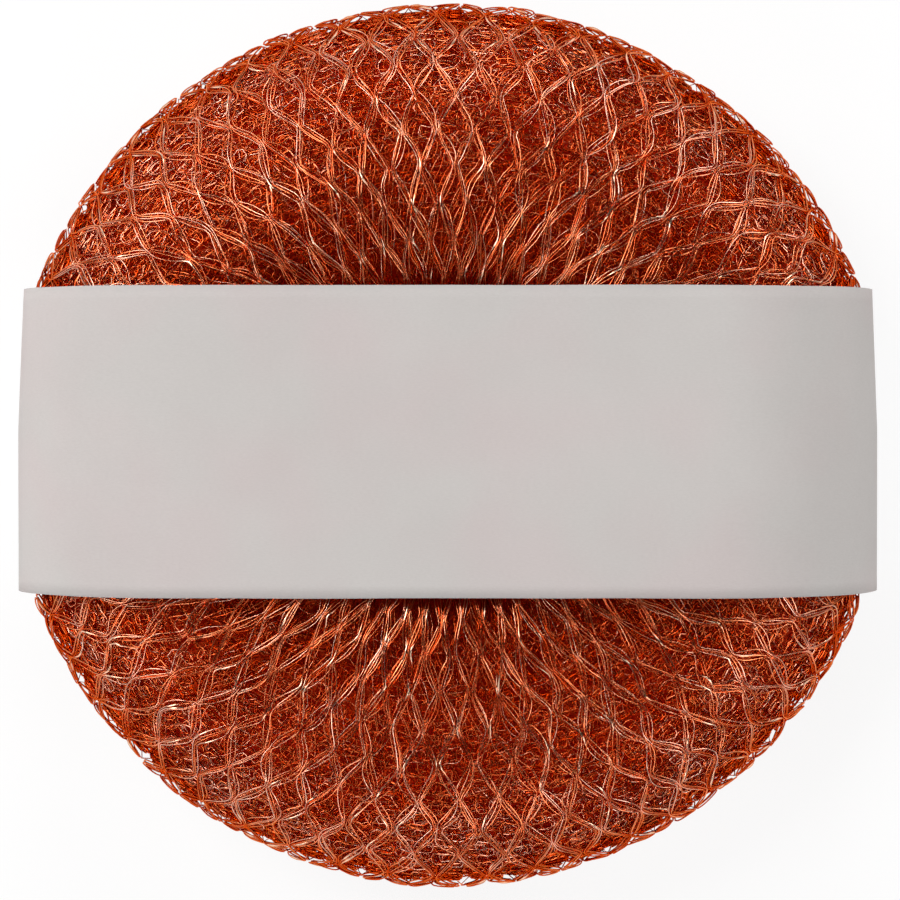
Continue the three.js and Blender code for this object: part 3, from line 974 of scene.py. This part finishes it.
band_data = bpy.data.meshes.new("paper_band_card")
band_data.from_pydata(card_points(card_path), [], card_faces(len(card_path)))
band_data.polygons.foreach_set("use_smooth", [abs(face.normal.y) < 0.5 for face in band_data.polygons])
band_data.update()
band = new_object("paper_band_card", band_data)
print("card:", len(band_data.polygons), "faces")

# %% [markdown]
# Uncoated card is matt, with faint clouds in the pulp and short fibres along the strip. A picture of card
# could be laid over it, but it would repeat, so noises of three sizes make the clouds, fibres and specks.

# %% Card finish
CLOUD_SCALE = 60.0
WARMTH_SCALE = 45.0
WARMTH_SHIFT = (0.4, 0.1, 0.2)
FIBRE_SCALE = 1800.0
FIBRE_STRETCH = (1.0, 3.0, 1.0)
SPECK_SCALE = 2600.0
CARD_GRAIN = 0.1 * MM


def linear(red, green, blue):
    """An sRGB colour, 0 to 255, in the renderer's own linear values."""
    return tuple(
        v / 12.92 if v <= 0.04045 else ((v + 0.055) / 1.055) ** 2.4
        for v in (red / 255, green / 255, blue / 255)
    )


def card_finish():
    material, start, shader = new_finish("grey_card", Roughness=0.9, Specular_IOR_Level=0.25)
    place = start.add("ShaderNodeTexCoord", out="Object")
    clouds = start.noise(place, CLOUD_SCALE, 3.0)
    warmth = start.noise(start.vector("ADD", place, WARMTH_SHIFT), WARMTH_SCALE)
    fibres = start.noise(start.vector("MULTIPLY", place, FIBRE_STRETCH), FIBRE_SCALE, 3.0)
    specks = start.noise(place, SPECK_SCALE, 1.0)
    mix = clouds * 0.5 + fibres * 0.5
    grey = start.add("ShaderNodeValToRGB", {"stops": [
        (0.25, linear(197, 192, 189)), (0.75, linear(207, 202, 199))]}, {"Fac": mix})
    rose = start.add("ShaderNodeValToRGB", {"stops": [
        (0.25, linear(199, 189, 187)), (0.75, linear(208, 199, 197))]}, {"Fac": mix})
    colour = start.add("ShaderNodeMix", {"data_type": "RGBA"}, {
        "Factor_Float": warmth.remap(0.4, 0.6, 0.0, 1.0), "A_Color": grey, "B_Color": rose},
        out="Result_Color")
    feed(material, shader, "Base Color", colour)
    grain = start.add("ShaderNodeBump", {}, {
        "Strength": 0.25, "Distance": CARD_GRAIN, "Height": fibres * 0.6 + specks * 0.4})
    feed(material, shader, "Normal", grain)
    return material


band_data.materials.append(card_finish())
print("card finish:", band_data.materials[0].name)

# %% [markdown]
# The glue is a thin dried film between the two flaps. Its solid already has the right form, so it only
# gets a finish: the cream of dried paste, with streaks where the flap was pressed.

# %% Glue finish
STREAK_SCALE = 500.0
STREAK_STRETCH = (0.3, 1.0, 1.0)


def glue_finish():
    material, start, shader = new_finish("dried_glue", Roughness=0.4, Specular_IOR_Level=0.5)
    place = start.add("ShaderNodeTexCoord", out="Object")
    streaks = start.noise(start.vector("MULTIPLY", place, STREAK_STRETCH), STREAK_SCALE, 3.0)
    colour = start.add("ShaderNodeValToRGB", {"stops": [
        (0.3, linear(214, 200, 170)), (0.7, linear(238, 230, 212))]}, {"Fac": streaks})
    feed(material, shader, "Base Color", colour)
    return material


glue = bpy.data.objects["glue_strip"]
glue.data.materials.clear()
glue.data.materials.append(glue_finish())
print("glue finish:", glue.data.materials[0].name)

# %% [markdown]
# The stage begins with a white floor that keeps a faint shadow. Enough lamps to make a floor white would
# bleach the card, so the floor shows its own even white to the camera and in reflections, mixed with a
# little of the lit surface, which is where the shadow falls.

# %% Floor
FLOOR = 3.0
FLOOR_WHITE = 1.05
FLOOR_GREY = (0.9, 0.9, 0.9, 1.0)
SHADOW = 0.2


def floor_finish():
    material, start, shader = new_finish("white_floor", Roughness=0.9, Base_Color=FLOOR_GREY)
    path = start.add("ShaderNodeLightPath")
    seen = path.math("MAXIMUM", path.more("Is Glossy Ray"))
    seen = seen.math("MAXIMUM", path.more("Is Transmission Ray"))
    white = start.add("ShaderNodeEmission", {}, {"Strength": FLOOR_WHITE})
    mixed = start.add("ShaderNodeMixShader", {}, {"Fac": seen * (1 - SHADOW)})
    mixer = mixed.socket.node
    material.node_tree.links.new(shader.outputs[0], mixer.inputs[1])
    material.node_tree.links.new(white.socket, mixer.inputs[2])
    output = material.node_tree.nodes["Material Output"]
    material.node_tree.links.new(mixer.outputs[0], output.inputs["Surface"])
    return material


floor_corners = [(-FLOOR, -FLOOR, 0), (FLOOR, -FLOOR, 0), (FLOOR, FLOOR, 0), (-FLOOR, FLOOR, 0)]
floor_mesh = bpy.data.meshes.new("floor")
floor_mesh.from_pydata(floor_corners, [], [(0, 1, 2, 3)])
floor_mesh.materials.append(floor_finish())
floor = new_object("floor", floor_mesh)
print(f"floor {2 * FLOOR:.0f} m wide")

# %% [markdown]
# Copper shows what stands round it. The walls and the ceiling are dim, so that the depth of the pad stays
# dark; only the foot of the walls is brighter, for the wires near the rim, and the left is brighter than
# the right.

# %% Walls and ceiling
WALL = 0.17
WALL_TILT = 0.4
CEILING = 0.05
CEILING_FROM = 0.8
FOOT_GLOW = 0.45
FOOT_FROM = 0.05
FOOT_TO = 0.4
world = bpy.data.worlds.new("studio")
bpy.context.scene.world = world
world.use_nodes = True
across, _, up = Field(world.node_tree).add("ShaderNodeTexCoord", out="Generated").xyz()
steep = up.math("ABSOLUTE")
wall = steep.remap(0.0, CEILING_FROM, WALL, CEILING) + steep.remap(FOOT_FROM, FOOT_TO, FOOT_GLOW, 0.0)
background = world.node_tree.nodes["Background"]
background.inputs["Color"].default_value = (1.0, 1.0, 1.0, 1.0)
world.node_tree.links.new((wall * (1 - across * WALL_TILT)).socket, background.inputs["Strength"])
bpy.context.scene.view_settings.view_transform = "Standard"
print("studio walls", WALL, "and ceiling", CEILING)

# %% [markdown]
# The lamps: a soft one above on the far left as in the photograph, a weaker one in front, and a ring of
# six lower ones, so that a wire has its highlight whichever way it runs. The ring is a little stronger on
# the far side.

# %% Lamps
KEY_SIZE = 0.2
KEY_FAR_PLACE = (-0.24, 0.22, 0.62)
KEY_FAR_POWER = 1.2
KEY_NEAR_PLACE = (0.0, -0.10, 0.67)
KEY_NEAR_POWER = 0.25
RING_LAMPS = 6
RING_SIZE = 0.25
RING_RADIUS = 0.65
RING_HEIGHT = 0.40
RING_POWER = 1.16
RING_TILT = 0.22
RING_BRIGHTEST = math.radians(100)


def add_lamp(name, place, size, power):
    data = bpy.data.lights.new(name, "AREA")
    data.energy = power
    data.size = size
    lamp = new_object(name, data)
    lamp.location = place
    lamp.rotation_euler = (Vector((0, 0, PAD_MIDDLE)) - Vector(place)).to_track_quat("-Z", "Y").to_euler()
    print(f"lamp {name}: {power:.2f} W")


add_lamp("key_far", KEY_FAR_PLACE, KEY_SIZE, KEY_FAR_POWER)
add_lamp("key_near", KEY_NEAR_PLACE, KEY_SIZE, KEY_NEAR_POWER)
for k in range(RING_LAMPS):
    around = 2 * math.pi * (k + 0.5) / RING_LAMPS
    place = (RING_RADIUS * math.cos(around), RING_RADIUS * math.sin(around), RING_HEIGHT)
    power = RING_POWER * (1 + RING_TILT * math.cos(around - RING_BRIGHTEST))
    add_lamp(f"ring_{k + 1}", place, RING_SIZE, power)

# %% [markdown]
# Last, each piece is told which body it moves with, and the solid that it stands for is hidden.

# %% Hand the pieces to the frame
for piece in outer_net:
    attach(piece, "scourer")
    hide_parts("outer_net")
for piece in second_net + inner_turns + [core]:
    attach(piece, "scourer")
    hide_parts("rolled_core")
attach(tie, "scourer")
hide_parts("centre_tie")
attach(band, "band")
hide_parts("paper_band")
